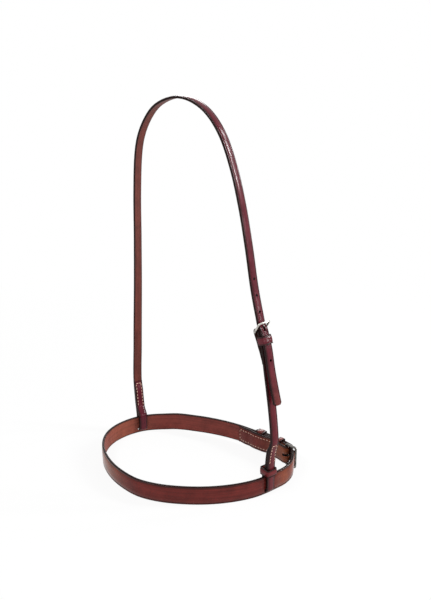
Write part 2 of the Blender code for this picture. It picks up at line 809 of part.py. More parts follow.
def cut_nose_band(nose_band, front, buckle, arch, chin_plane, cutters):
    bm = bmesh.new()
    for point, turn in ((arch.near, arch.near_turn), (arch.off, arch.off_slot_turn)):
        place = Matrix.Translation((point.x, point.y, loop_floor)) @ Matrix.Rotation(turn, 4, "Z")
        across = place @ Matrix.Rotation(math.pi / 2, 4, "Z") @ Matrix.Rotation(math.pi / 2, 4, "X")
        add_punch(bm, across, loop_slot_height / 2, loop_slot_length, 3 * nose_thickness)
    cutter_object("loop_slots", bm, nose_band, cutters)
    bm = bmesh.new()
    add_tongue_slot(bm, buckle, chin_plane)
    cutter_object("nose_tongue_slot", bm, nose_band, cutters)
    bm = bmesh.new()
    add_holes(bm, front, chin_plane, buckle, chin_hole_radius, chin_hole_slot, chin_hole_pitch, 1,
              0, chin_hole_count)
    add_point(bm, chin_plane, front, line_length(front), -1, nose_width, nose_thickness, chin_point_sides)
    cutter_object("nose_punch", bm, nose_band, cutters)


def cut_head_straps(straps, line, buckle, arch, cutters):
    bm = bmesh.new()
    add_tongue_slot(bm, buckle, arch.plane)
    cutter_object("cheek_punch", bm, straps["near_cheek_strap"], cutters, arch.turn)
    bm = bmesh.new()
    add_holes(bm, line, arch.plane, buckle, head_hole_radius, head_hole_slot, head_hole_pitch, -1,
              head_lower_hole_count, head_upper_hole_count)
    add_point(bm, arch.plane, line, 0, 1, head_width, head_thickness, head_point_sides)
    cutter_object("head_punch", bm, straps["head_strap"], cutters, arch.turn)


def stand_on_origin(root, made):
    """Moves everything together so that the origin is under the middle of the whole."""
    bpy.context.view_layer.update()
    depsgraph = bpy.context.evaluated_depsgraph_get()
    corners = []
    for obj in made.values():
        solid = obj.evaluated_get(depsgraph)
        corners += [obj.matrix_world @ vertex.co for vertex in solid.data.vertices]
    low = [min(corner[axis] for corner in corners) for axis in (0, 1)]
    high = [max(corner[axis] for corner in corners) for axis in (0, 1)]
    root.location = (-(low[0] + high[0]) / 2, -(low[1] + high[1]) / 2, 0)


build()
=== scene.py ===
"""The plain bridle noseband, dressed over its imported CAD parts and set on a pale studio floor."""

import json
import math

import bpy
import numpy as np
from bpy.props import FloatProperty, FloatVectorProperty, PointerProperty
from mathutils import Matrix, Vector


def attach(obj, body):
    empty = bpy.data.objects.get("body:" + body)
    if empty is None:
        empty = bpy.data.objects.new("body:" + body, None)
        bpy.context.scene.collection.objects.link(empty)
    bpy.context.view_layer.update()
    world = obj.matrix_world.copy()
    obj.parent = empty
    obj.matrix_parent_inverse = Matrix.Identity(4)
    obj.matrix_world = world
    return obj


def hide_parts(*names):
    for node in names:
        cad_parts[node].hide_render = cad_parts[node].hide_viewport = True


bl_info = {
    "name": "Bridle noseband",
    "version": (1, 0, 0),
    "blender": (4, 5, 0),
    "location": "View3D > Sidebar > Noseband",
    "description": "Builds a leather bridle noseband with its straps, buckles, keepers and stitching",
    "category": "Add Mesh",
}

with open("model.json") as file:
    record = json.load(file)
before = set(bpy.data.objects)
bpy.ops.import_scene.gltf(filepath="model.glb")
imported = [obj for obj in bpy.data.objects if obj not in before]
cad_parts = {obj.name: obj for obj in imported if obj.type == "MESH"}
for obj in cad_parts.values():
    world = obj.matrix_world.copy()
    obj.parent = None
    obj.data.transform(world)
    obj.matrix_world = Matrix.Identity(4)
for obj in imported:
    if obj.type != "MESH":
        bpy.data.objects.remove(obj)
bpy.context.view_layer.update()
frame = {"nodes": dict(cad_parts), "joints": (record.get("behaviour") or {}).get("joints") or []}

MM = 0.001

# Half the width of the nose strap, and of the head strap and the cheek strap
NOSE_HALF = 13.1 * MM
HEAD_HALF = 6.35 * MM

# How the CAD bends the straps. The nose strap rises towards the jaw buckle, between two places along Y. The
# foot of each leg of the head strap is turned round its seat on the nose strap, and that fades out upwards.
JAW_RISE = 4.3 * MM
JAW_RISE_START = 44.25 * MM
JAW_RISE_END = 83.15 * MM
LEG_LEVEL = 20.96 * MM
LEG_TURN_START = 84 * MM
LEGS = {
    "near": {"seat": Vector((122.72 * MM, LEG_LEVEL, 0)), "turn": math.radians(-9.35), "end": 450 * MM},
    "off": {"seat": Vector((-122.66 * MM, LEG_LEVEL, 0)), "turn": math.radians(-20.49), "end": 360 * MM},
}

# The slots of the nose strap: their lowest and highest point, how far they reach along the strap from the
# middle of a loop, and how much closer their ends are drawn in
SLOT_LOW = 1.5 * MM
SLOT_HIGH = 10 * MM
SLOT_REACH = 8.6 * MM
SLOT_DRAW = 0.4 * MM

# The sides of the leather, in the order of their material slots on each piece
GRAIN, FLESH, EDGE = range(3)

# The creases of the head strap and the cheek strap lie closer to the edge, at this share of the nose strap's
# inset. A keeper's crease inset and crease width are shares of half its own width.
HEAD_INSET_SHARE = 0.75
KEEPER_INSET_SHARE = 0.32
KEEPER_CREASE_SHARE = 0.22

# Share of a crease's inset over which the leather's edge rounds off
EDGE_SHARE = 0.4

# The dark dye that runs from the edges onto the faces: its strength, and the distances from the edge at which
# it starts and is full, as shares of a crease's inset
EDGE_DYE = 0.95
EDGE_DYE_START = 0.95
EDGE_DYE_FULL = 0.3

# How far each piece of leather has the head strap's redder dye instead of the nose strap's
WINE = {"nose_strap": 0.1, "jaw_front_keeper": 0.0, "jaw_rear_keeper": 0.0, "crown_strap": 1.0,
        "cheek_strap": 0.8, "cheek_keeper": 0.9, "loop_runner": 0.5}

# Where the nose strap is bent hard its dye pales to tan. The spots on its outer bends and on the inside of
# its left end are also painted highlight, where those bends catch the lamps. Each is a place on the strap,
# how far round it the tan reaches, how strong it is there, and the sides of the leather that it shows on.
PALE_AND_SHEEN_SPOTS = (
    (Vector((133 * MM, 52 * MM)), 30 * MM, 0.32, (GRAIN, EDGE)),
    (Vector((-78 * MM, -88 * MM)), 80 * MM, 0.45, (GRAIN, EDGE)),
    (Vector((100 * MM, 88 * MM)), 60 * MM, 0.45, (GRAIN, FLESH, EDGE)),
    (Vector((-128 * MM, -20 * MM)), 80 * MM, 0.25, (FLESH, EDGE)),
)

# The point of the head strap is worn tan too
TAIL_WEAR = 0.14
TAIL_WEAR_REACH = 60 * MM

# The bend of a buckle frame's corners, and how finely they and its round wire are divided
CORNER_BEND = 2.2 * MM
CORNER_STEPS = 6
WIRE_STEPS = 4

# The tip of a buckle's tongue, this long, is drawn in to this share of its thickness. The taper runs this far
# back from it, and this many subdivisions then round the tongue.
TIP_LENGTH = 1.0 * MM
TIP_SHARE = 0.45
TAPER_LENGTH = 9 * MM
TONGUE_ROUNDING = 2

# A saddler's stitches lean a little across the seam, are a little flat, and lie just proud of the leather.
# Each is drawn with this many sides and rings.
STITCH_SLANT = Matrix.Rotation(math.radians(12), 4, "Y")
STITCH_FLATNESS = 0.8
STITCH_LIFT = 0.2 * MM
STITCH_STEPS = 8

# A CAD thread is a tube with a ring at each hole. Points within the first distance are at one hole, and
# holes within the second are neighbours.
RING_REACH = 1.2 * MM
PITCH_REACH = 5.8 * MM

# Points closer than the first distance are merged. Points closer than the second to a cut, or than the third
# to a crease line or an edge, lie on it.
MERGE = 0.005 * MM
CUT_SNAP = 0.001 * MM
ON_LINE = 0.02 * MM

# Two triangles that bend and skew no more than this make a quad. Faces that bend no more than the next angle
# belong to one side of a strap, and those that bend no more than the last are shaded as one surface.
QUAD_BEND = math.radians(10)
QUAD_SKEW = math.radians(60)
SIDE_BEND = math.radians(32)
ROUND_BEND = math.radians(50)

# Least cosine between a direction and the normal of a face that looks that way, on the sides of a strap and
# on the cut edges of a keeper
LOOKS_ALONG = 0.9
KEEPER_EDGE_LOOKS_ALONG = 0.6

# The studio: each lamp's name, place, watts, width and height, all pointing at the middle of the noseband
LAMPS = (
    ("side", (1.43, 1.27, 1.0), 16, (0.14, 0.4)),
    ("middle", (1.19, 1.37, 1.35), 14, (0.14, 0.35)),
    ("high", (0.78, 1.42, 1.58), 6, (0.18, 0.3)),
    ("low", (1.66, 1.08, 0.47), 2.5, (0.16, 0.14)),
    ("right", (2.1, 0.05, 0.7), 6, (0.3, 0.4)),
    ("front", (-0.2, -1.5, 1.9), 24, (1.3, 0.1)),
    ("back", (-1.3, 1.6, 0.9), 8, (0.6, 0.6)),
)
LAMPS_AIM = Vector((0, 0, 0.25))

# The white room round the noseband: how strongly it lights it. To the eye it is plain white.
ROOM_LIGHT = 0.41
WHITE = (1, 1, 1, 1)

# The paper floor, and its glow to the eye near the noseband, which fades to plain white between two distances
FLOOR_SIZE = 12
PAPER_GLOW = 0.9
FADE_START = 0.25
FADE_END = 0.9

# The camera's lens and sensor in millimetres, its place, and how far it looks down and is turned, in degrees
CAMERA_LENS = 48
CAMERA_SENSOR = 36
CAMERA_PLACE = (0.692048, -0.697442, 0.59185)
CAMERA_DOWN = 19.42
CAMERA_TURN = 42.73


def linear(hex_colour):
    """The linear colour of an sRGB hex value such as "7A3A30"."""
    shares = [int(hex_colour[i:i + 2], 16) / 255 for i in (0, 2, 4)]
    return [s / 12.92 if s <= 0.04045 else ((s + 0.055) / 1.055) ** 2.4 for s in shares]


def per_metre(size_mm):
    """The scale of a pattern whose cells are this many millimetres across."""
    return 1000 / size_mm


def ease(value, start, end):
    """Goes smoothly from 0 at the start to 1 at the end."""
    share = min(max((value - start) / (end - start), 0.0), 1.0)
    return share * share * (3 - 2 * share)


# The two bends. With way -1 each is taken back, to a strap that lies flat across its width.

def rise_to_jaw(point, way):
    return Vector((point.x, point.y, point.z + way * JAW_RISE * ease(point.y, JAW_RISE_START, JAW_RISE_END)))


def turn_leg(point, way):
    leg = LEGS["near" if point.x > 0 else "off"]
    angle = way * leg["turn"] * (1 - ease(point.z, LEG_TURN_START, leg["end"]))
    return leg["seat"] + Matrix.Rotation(angle, 3, "Z") @ (point - leg["seat"])


# Settings that a user would change

class NosebandSizes(bpy.types.PropertyGroup):
    crease_inset: FloatProperty(
        name="Crease inset", description="Distance from the nose strap's edge to its crease line",
        default=2.6 * MM, min=1 * MM, unit="LENGTH")
    crease_width: FloatProperty(
        name="Crease width", description="Width of the crease line",
        default=1.2 * MM, min=0.2 * MM, unit="LENGTH")
    crease_depth: FloatProperty(
        name="Crease depth", description="Depth of the crease line",
        default=0.35 * MM, min=0, unit="LENGTH")
    crown: FloatProperty(
        name="Crown", description="How much lower the grain side lies at its edges than along its middle",
        default=0.5 * MM, min=0, unit="LENGTH")
    stitch_length: FloatProperty(
        name="Stitch length", description="Length of thread that shows in one stitch",
        default=3.0 * MM, min=1 * MM, unit="LENGTH")
    stitch_width: FloatProperty(
        name="Stitch width", description="Thickness of the waxed thread",
        default=1.0 * MM, min=0.3 * MM, unit="LENGTH")


class NosebandColours(bpy.types.PropertyGroup):
    grain: FloatVectorProperty(
        name="Leather", description="Dyed grain side of the leather",
        default=linear("63241E"), subtype="COLOR", size=3, min=0, max=1)
    wine: FloatVectorProperty(
        name="Head strap", description="Redder dye of the head strap, its keeper and its runner",
        default=linear("571B26"), subtype="COLOR", size=3, min=0, max=1)
    flesh: FloatVectorProperty(
        name="Back of the leather", description="Pasted flesh side of the leather",
        default=linear("74332C"), subtype="COLOR", size=3, min=0, max=1)
    flesh_thin: FloatVectorProperty(
        name="Back of the head strap", description="Flesh side of the head strap and the cheek strap",
        default=linear("602C24"), subtype="COLOR", size=3, min=0, max=1)
    edge: FloatVectorProperty(
        name="Edges", description="Stained and burnished edges",
        default=linear("1A0B09"), subtype="COLOR", size=3, min=0, max=1)
    # This tan is also painted highlight where the nose strap's bends catch the lamps
    pale: FloatVectorProperty(
        name="Hard bends", description="Tan that shows where the leather is bent hard",
        default=linear("A86A42"), subtype="COLOR", size=3, min=0, max=1)
    metal: FloatVectorProperty(
        name="Buckles", description="Nickel plate of the buckles",
        default=linear("CFCBC4"), subtype="COLOR", size=3, min=0, max=1)
    thread: FloatVectorProperty(
        name="Thread", description="Waxed linen thread",
        default=linear("E0B7A2"), subtype="COLOR", size=3, min=0, max=1)


# Materials

# The places of a Mix node's colour sockets, whose names its number sockets have too
MIX_FIRST, MIX_SECOND, MIX_RESULT = 6, 7, 2


def add_node(tree, kind, inputs=None, **settings):
    """Adds a node. Each input is a value, or a socket that is linked to it."""
    node = tree.nodes.new(kind)
    for name, value in settings.items():
        setattr(node, name, value)
    for name, value in (inputs or {}).items():
        if isinstance(value, bpy.types.NodeSocket):
            tree.links.new(value, node.inputs[name])
        else:
            node.inputs[name].default_value = value
    return node


def new_material(name):
    """A material with a Principled shader and the Object coordinates that its patterns read."""
    material = bpy.data.materials.new(name)
    material.use_nodes = True
    tree = material.node_tree
    place = add_node(tree, "ShaderNodeTexCoord").outputs["Object"]
    return material, tree, tree.nodes["Principled BSDF"], place


def colour_of(values, share=1.0):
    """A socket's colour: a setting's colour, or a share of it."""
    return (*(value * share for value in values), 1.0)


def tone_of(tree, pattern, values, low, high):
    """A colour that wavers between two shares of itself as a pattern goes from dark to light."""
    # Noise is mostly between 0.3 and 0.7
    share = add_node(tree, "ShaderNodeMapRange", {"Value": pattern, "From Min": 0.3, "From Max": 0.7})
    tone = add_node(tree, "ShaderNodeMix", {0: share.outputs["Result"], MIX_FIRST: colour_of(values, low),
                                            MIX_SECOND: colour_of(values, high)}, data_type="RGBA")
    return tone.outputs[MIX_RESULT]


def dye_and_sheen_streaks(tree, place, across_mm, along_mm):
    """Noise drawn out along a strap, from the distance across it that the strap's skin carries. It paints
    lines of dye and of painted sheen.
    """
    across = add_node(tree, "ShaderNodeAttribute", attribute_name="across")
    shift = add_node(tree, "ShaderNodeMath", {0: across.outputs["Fac"], 1: per_metre(across_mm)},
                     operation="MULTIPLY")
    aside = add_node(tree, "ShaderNodeCombineXYZ", {"X": shift.outputs["Value"]})
    far = add_node(tree, "ShaderNodeVectorMath", {0: place, 1: (per_metre(along_mm),) * 3},
                   operation="MULTIPLY")
    both = add_node(tree, "ShaderNodeVectorMath", {0: aside.outputs["Vector"], 1: far.outputs["Vector"]})
    noise = add_node(tree, "ShaderNodeTexNoise", {"Vector": both.outputs["Vector"], "Scale": 1.0,
                                                  "Detail": 3.0})
    return noise.outputs["Fac"]


def dye_with_painted_light(tree, place, values, redder, colours):
    """Streaky, mottled dye that pales to tan at hard bends and darkens towards the edges, with painted sheen
    in the streaks and at the bends and painted shade in the creases.
    """
    wine = add_node(tree, "ShaderNodeAttribute", attribute_name="wine")
    dye = add_node(tree, "ShaderNodeMix", {0: wine.outputs["Fac"], MIX_FIRST: colour_of(values),
                                           MIX_SECOND: colour_of(redder)}, data_type="RGBA")
    # Clouds of dye 18 mm across, and streaks 1.6 mm across that run 70 mm along the strap, partly dye and
    # partly painted sheen
    mottle = add_node(tree, "ShaderNodeTexNoise", {"Vector": place, "Scale": per_metre(18), "Detail": 5.0,
                                                   "Roughness": 0.6})
    both = add_node(tree, "ShaderNodeMath", {0: dye_and_sheen_streaks(tree, place, across_mm=1.6, along_mm=70),
                                             1: mottle.outputs["Fac"]}, operation="ADD")
    depth = add_node(tree, "ShaderNodeMapRange", {"Value": both.outputs["Value"], "From Min": 0.7,
                                                  "From Max": 1.3, "To Min": 0.66, "To Max": 1.34})
    body = add_node(tree, "ShaderNodeVectorMath", {0: dye.outputs[MIX_RESULT],
                                                   "Scale": depth.outputs["Result"]}, operation="SCALE")
    # The tan mixed in here is partly painted highlight at the nose strap's bends
    bend = add_node(tree, "ShaderNodeAttribute", attribute_name="pale")
    patch = add_node(tree, "ShaderNodeMapRange", {"Value": mottle.outputs["Fac"], "From Min": 0.3,
                                                  "From Max": 0.7, "To Min": 0.4, "To Max": 1.0})
    worn_and_sheen = add_node(tree, "ShaderNodeMath", {0: bend.outputs["Fac"], 1: patch.outputs["Result"]},
                    operation="MULTIPLY")
    pale = add_node(tree, "ShaderNodeMix", {0: worn_and_sheen.outputs["Value"], MIX_FIRST: body.outputs["Vector"],
                                            MIX_SECOND: colour_of(colours.pale)}, data_type="RGBA")
    # Dark dye towards the edges, and painted shade in the creases
    dark_rim_and_crease_shade = add_node(tree, "ShaderNodeAttribute", attribute_name="edge_dye_and_crease_shade")
    whole = add_node(tree, "ShaderNodeMix", {0: dark_rim_and_crease_shade.outputs["Fac"], MIX_FIRST: pale.outputs[MIX_RESULT],
                                             MIX_SECOND: colour_of(colours.edge)}, data_type="RGBA")
    return whole.outputs[MIX_RESULT]


def grain_leather(colours):
    """Bridle leather, vegetable tanned, coloured with dye and waxed on its grain side: a soft shine over
    streaky dye, with painted sheen in the streaks and at the bends and painted shade in the creases.
    """
    material, tree, shader, place = new_material("waxed_bridle_leather_grain")
    tree.links.new(dye_with_painted_light(tree, place, colours.grain, colours.wine, colours), shader.inputs["Base Color"])
    # Pores are about 0.3 mm apart, and are drawn at 1 mm so that they show. The hide rolls every 9 mm or so.
    pores = add_node(tree, "ShaderNodeTexNoise", {"Vector": place, "Scale": per_metre(1.0), "Detail": 3.0})
    hide = add_node(tree, "ShaderNodeTexNoise", {"Vector": place, "Scale": per_metre(9), "Detail": 2.0})
    height = add_node(tree, "ShaderNodeMath", {0: pores.outputs["Fac"], 1: hide.outputs["Fac"]},
                      operation="ADD")
    bump = add_node(tree, "ShaderNodeBump", {"Height": height.outputs["Value"], "Strength": 0.3,
                                             "Distance": 0.05 * MM})
    tree.links.new(bump.outputs["Normal"], shader.inputs["Normal"])
    rough = add_node(tree, "ShaderNodeMapRange", {"Value": hide.outputs["Fac"], "To Min": 0.12,
                                                  "To Max": 0.24})
    tree.links.new(rough.outputs["Result"], shader.inputs["Roughness"])
    shader.inputs["Specular IOR Level"].default_value = 0.15
    return material


def flesh_leather(colours):
    """The back of the same leather, pasted and glassed flat: duller, with short loose fibres."""
    material, tree, shader, place = new_material("pasted_leather_flesh_side")
    tree.links.new(dye_with_painted_light(tree, place, colours.flesh, colours.flesh_thin, colours), shader.inputs["Base Color"])
    # Single fibres are too fine to show, so they are drawn as tufts 2.5 mm across
    fibre = add_node(tree, "ShaderNodeTexNoise", {"Vector": place, "Scale": per_metre(2.5), "Detail": 6.0,
                                                  "Roughness": 0.7})
    bump = add_node(tree, "ShaderNodeBump", {"Height": fibre.outputs["Fac"], "Strength": 0.5,
                                             "Distance": 0.3 * MM})
    tree.links.new(bump.outputs["Normal"], shader.inputs["Normal"])
    shader.inputs["Roughness"].default_value = 0.55
    shader.inputs["Specular IOR Level"].default_value = 0.2
    return material


def burnished_edge(colours):
    """Cut edges, stained dark, waxed and rubbed to a shine that is uneven."""
    material, tree, shader, place = new_material("burnished_leather_edge")
    layers = add_node(tree, "ShaderNodeTexNoise", {"Vector": place, "Scale": per_metre(3), "Detail": 4.0})
    tree.links.new(tone_of(tree, layers.outputs["Fac"], colours.edge, 0.7, 1.5), shader.inputs["Base Color"])
    rough = add_node(tree, "ShaderNodeMapRange", {"Value": layers.outputs["Fac"], "To Min": 0.12,
                                                  "To Max": 0.45})
    tree.links.new(rough.outputs["Result"], shader.inputs["Roughness"])
    shader.inputs["Specular IOR Level"].default_value = 0.07
    return material


def nickel(colours):
    """Malleable iron, polished and nickel plated: a warm bright mirror, its colour darkened where a dark
    reflection is painted on.
    """
    material, tree, shader, place = new_material("polished_nickel_plate")
    waves = add_node(tree, "ShaderNodeTexNoise", {"Vector": place, "Scale": per_metre(6), "Detail": 3.0})
    painted_dark_reflection = add_node(tree, "ShaderNodeAttribute", attribute_name="painted_dark_reflection")
    # A painted dark reflection mixes the plate towards a dark tone of its colour
    tone = add_node(tree, "ShaderNodeMix", {
        0: painted_dark_reflection.outputs["Fac"], MIX_FIRST: tone_of(tree, waves.outputs["Fac"], colours.metal, 0.45, 1.0),
        MIX_SECOND: tone_of(tree, waves.outputs["Fac"], colours.metal, 0.06, 0.3)}, data_type="RGBA")
    tree.links.new(tone.outputs[MIX_RESULT], shader.inputs["Base Color"])
    shader.inputs["Metallic"].default_value = 1.0
    rough = add_node(tree, "ShaderNodeMapRange", {"Value": waves.outputs["Fac"], "To Min": 0.1,
                                                  "To Max": 0.24})
    tree.links.new(rough.outputs["Result"], shader.inputs["Roughness"])
    return material


def linen_thread(colours):
    """Twisted linen thread, waxed: a light matt cord, with painted shade between its plies."""
    material, tree, shader, place = new_material("waxed_linen_thread")
    # Plies are about 0.3 mm apart, and the painted shade between them is drawn as a mottle of 0.8 mm so that
    # it shows
    ply_shade = add_node(tree, "ShaderNodeTexNoise", {"Vector": place, "Scale": per_metre(0.8), "Detail": 2.0})
    tree.links.new(tone_of(tree, ply_shade.outputs["Fac"], colours.thread, 0.6, 1.15), shader.inputs["Base Color"])
    shader.inputs["Roughness"].default_value = 0.6
    return material


def finish_named(name):
    """One of the finishes, made the first time that a piece asks for it."""
    makers = {"grain": grain_leather, "flesh": flesh_leather, "edge": burnished_edge, "metal": nickel,
              "thread": linen_thread}
    key = "finish_" + name
    scene = bpy.context.scene
    if key not in scene:
        scene[key] = makers[name](scene.noseband_colours).name
    return bpy.data.materials[scene[key]]


# Modelling steps

def only(obj):
    """Leaves one object selected and active."""
    bpy.ops.object.select_all(action="DESELECT")
    obj.select_set(True)
    bpy.context.view_layer.objects.active = obj


def merge_skin(obj):
    """Merges a mesh's doubled points into one skin that faces outwards, and leaves it in edit mode."""
    only(obj)
    bpy.ops.object.mode_set(mode="EDIT")
    bpy.ops.mesh.select_all(action="SELECT")
    bpy.ops.mesh.remove_doubles(threshold=MERGE)
    bpy.ops.mesh.normals_make_consistent(inside=False)


def copy_of(node, name):
    """A copy of a CAD node under a new name, with its triangles merged into one skin of quads."""
    obj = frame["nodes"][node].copy()
    obj.data = obj.data.copy()
    # The properties that came with it belong to the CAD node
    for key in list(obj.keys()):
        del obj[key]
    obj.parent = None
    obj.name = name
    obj.data.name = name
    obj.data.materials.clear()
    bpy.context.scene.collection.objects.link(obj)
    merge_skin(obj)
    bpy.ops.mesh.tris_convert_to_quads(face_threshold=QUAD_BEND, shape_threshold=QUAD_SKEW)
    bpy.ops.object.mode_set(mode="OBJECT")
    return obj


def reshape(obj, bend, way):
    """Bends a strap, or takes it out of its bend where way is -1."""
    for vertex in obj.data.vertices:
        vertex.co = bend(vertex.co, way)


def keep_values(obj, name, values, domain="POINT"):
    """Keeps a number at each point or face corner of a piece, for its material to read."""
    obj.data.attributes.new(name, "FLOAT", domain).data.foreach_set("value", values)


def smooth(obj):
    only(obj)
    bpy.ops.object.shade_smooth_by_angle(angle=ROUND_BEND)


def settle(obj, body, slot, *nodes):
    """A finished piece rides on its body and stands for its CAD nodes."""
    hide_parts(*nodes)
    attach(obj, body)


def cut_across(obj, middle, normal, distances):
    """Cuts the whole skin at planes on both sides of a middle point."""
    only(obj)
    bpy.ops.object.mode_set(mode="EDIT")
    for distance in distances:
        for side in (1, -1):
            bpy.ops.mesh.select_all(action="SELECT")
            bpy.ops.mesh.bisect(plane_co=middle + normal * side * distance, plane_no=normal,
                                threshold=CUT_SNAP)
    bpy.ops.object.mode_set(mode="OBJECT")


def cut_creases(obj, middle, normal, half_width, inset, width):
    """Cuts the skin along its middle, where its edges round off, and where its crease lines will run."""
    crease = half_width - inset
    cut_across(obj, middle, normal, (0, crease / 2, crease - width / 2, crease, crease + width / 2,
                                     half_width - inset * EDGE_SHARE))


def select_side(obj, outward, facing):
    """Selects one side of a strap: the outermost face that looks outward, or inward where facing is -1, and
    all that runs on smoothly from it. Returns its faces."""
    only(obj)
    for part in (obj.data.polygons, obj.data.edges, obj.data.vertices):
        part.foreach_set("select", [False] * len(part))
    sought = [face for face in obj.data.polygons if facing * face.normal.dot(outward) > LOOKS_ALONG]
    max(sought, key=lambda face: face.center.dot(outward)).select = True
    bpy.ops.object.mode_set(mode="EDIT")
    bpy.ops.mesh.select_mode(type="FACE")
    bpy.ops.mesh.faces_select_linked_flat(sharpness=SIDE_BEND)
    bpy.ops.object.mode_set(mode="OBJECT")
    return [face for face in obj.data.polygons if face.select]


def press_creases(obj, middle, normal, half_width, inset):
    """Crowns the grain side, presses its creases in and paints shade into them, rounds its edges and spreads
    the dark edge dye.
    """
    sizes = bpy.context.scene.noseband_sizes
    # A keeper that is narrower than the head strap has less crown
    crown = sizes.crown * min(half_width / HEAD_HALF, 1)
    grain = {index for face in obj.data.polygons if face.material_index == GRAIN for index in face.vertices}
    places, dye, moves = [], [], []
    for vertex in obj.data.vertices:
        place = (vertex.co - middle).dot(normal)
        from_edge = half_width - abs(place)
        share = EDGE_DYE * (1 - ease(from_edge, inset * EDGE_DYE_FULL, inset * EDGE_DYE_START))
        if vertex.index in grain:
            down = crown * (place / half_width) ** 2
            # The shade in a crease is painted by giving the crease the full edge dye
            if abs(from_edge - inset) < ON_LINE:
                down += sizes.crease_depth
                share = 1.0
            if from_edge < ON_LINE:
                down += sizes.crease_depth
            # An edge's normal leans outwards, so only its part across the face counts
            out = vertex.normal - normal * vertex.normal.dot(normal)
            moves.append((vertex, out.normalized() * down))
        places.append(place)
        dye.append(share)
    for vertex, move in moves:
        vertex.co -= move
    keep_values(obj, "wine", [WINE[obj.name]] * len(places))
    keep_values(obj, "edge_dye_and_crease_shade", dye)
    keep_values(obj, "across", places)


def give_finishes(obj):
    for name in ("grain", "flesh", "edge"):
        obj.data.materials.append(finish_named(name))


def dress_strap(obj, bend, middle, normal, half_width, inset, outward):
    """Crease lines along both edges with painted shade in them, darker dye towards the edges, and a finish
    for each side of the leather. The strap is taken out of its bend for this, and the direction outward tells
    its grain side."""
    reshape(obj, bend, -1)
    cut_creases(obj, middle, normal, half_width, inset, bpy.context.scene.noseband_sizes.crease_width)
    give_finishes(obj)
    for face in obj.data.polygons:
        face.material_index = EDGE
    for side, facing in ((FLESH, -1), (GRAIN, 1)):
        for face in select_side(obj, outward, facing):
            face.material_index = side
    press_creases(obj, middle, normal, half_width, inset)
    reshape(obj, bend, 1)
    smooth(obj)


def dress_keeper(node, name, body):
    """A keeper: a flat leather band bent round its strap, creased along both edges."""
    obj = copy_of(node, name)
    middle = sum((vertex.co for vertex in obj.data.vertices), Vector()) / len(obj.data.vertices)
    spread = np.zeros((3, 3))
    for face in obj.data.polygons:
        spread += face.area * np.outer(face.normal, face.normal)
    # Few of its faces look along the strap, so that is the direction in which their normals spread least
    along = Vector(np.linalg.eigh(spread)[1][:, 0])
    half = max(abs((vertex.co - middle).dot(along)) for vertex in obj.data.vertices)
    inset = KEEPER_INSET_SHARE * half
    cut_creases(obj, middle, along, half, inset, KEEPER_CREASE_SHARE * half)
    give_finishes(obj)
    for face in obj.data.polygons:
        if abs(face.normal.dot(along)) > KEEPER_EDGE_LOOKS_ALONG:
            face.material_index = EDGE
        elif face.normal.dot(face.center - middle) < 0:
            face.material_index = FLESH
        else:
            face.material_index = GRAIN
    press_creases(obj, middle, along, half, inset)
    smooth(obj)
    settle(obj, body, "bridle_leather", node)


def narrow_slot(obj, leg):
    """Draws the ends of a loop's slot in the nose strap closer to the loop."""
    along = Vector((-math.sin(leg["turn"]), math.cos(leg["turn"]), 0))
    for vertex in obj.data.vertices:
        away = vertex.co - leg["seat"]
        distance = away.dot(along)
        if SLOT_LOW < away.z < SLOT_HIGH and abs(distance) < SLOT_REACH:
            vertex.co -= along * SLOT_DRAW * distance / SLOT_REACH


def pale_and_sheen_bends(obj):
    """Tan where the nose strap is bent hard, which is also painted highlight where its bends catch the lamps.
    """
    values = [0.0] * len(obj.data.loops)
    for face in obj.data.polygons:
        for corner in face.loop_indices:
            place = obj.data.vertices[obj.data.loops[corner].vertex_index].co.xy
            values[corner] = max(strength * (1 - ease((place - spot).length, 0, reach))
                                 for spot, reach, strength, sides in PALE_AND_SHEEN_SPOTS
                                 if face.material_index in sides)
    keep_values(obj, "pale", values, domain="CORNER")


def wear_point(obj):
    """Tan round the point of the head strap, which is its lowest place beyond the near seat."""
    tail = min((vertex.co for vertex in obj.data.vertices if vertex.co.x > LEGS["near"]["seat"].x),
               key=lambda place: place.z)
    keep_values(obj, "pale", [TAIL_WEAR * (1 - ease((vertex.co - tail).length, 0, TAIL_WEAR_REACH))
                              for vertex in obj.data.vertices])


def dress_head_strap(node, name, outward):
    """The head strap or the cheek strap, which are of one width and turned alike."""
    obj = copy_of(node, name)
    inset = bpy.context.scene.noseband_sizes.crease_inset * HEAD_INSET_SHARE
    dress_strap(obj, turn_leg, Vector((0, LEG_LEVEL, 0)), Vector((0, 1, 0)), HEAD_HALF, inset, outward)
    return obj


class NOSEBAND_OT_nose_strap(bpy.types.Operator):
    """Dress the nose strap"""
    bl_idname = "noseband.nose_strap"
    bl_label = "Nose strap"

    def execute(self, context):
        obj = copy_of("nose_band", "nose_strap")
        for leg in LEGS.values():
            narrow_slot(obj, leg)
        dress_strap(obj, rise_to_jaw, Vector((0, 0, NOSE_HALF)), Vector((0, 0, 1)), NOSE_HALF,
                    context.scene.noseband_sizes.crease_inset, Vector((0, -1, 0)))
        pale_and_sheen_bends(obj)
        settle(obj, "nose_strap", "bridle_leather", "nose_band")
        return {"FINISHED"}


class NOSEBAND_OT_head_straps(bpy.types.Operator):
    """Dress the head strap and the cheek strap"""
    bl_idname = "noseband.head_straps"
    bl_label = "Head strap and cheek strap"

    def execute(self, context):
        crown_strap = dress_head_strap("head_strap", "crown_strap", Vector((0, 0, 1)))
        wear_point(crown_strap)
        settle(crown_strap, "head_straps", "bridle_leather", "head_strap")
        cheek_strap = dress_head_strap("near_cheek_strap", "cheek_strap", Vector((1, 0, 0)))
        settle(cheek_strap, "head_straps", "bridle_leather", "near_cheek_strap")
        return {"FINISHED"}


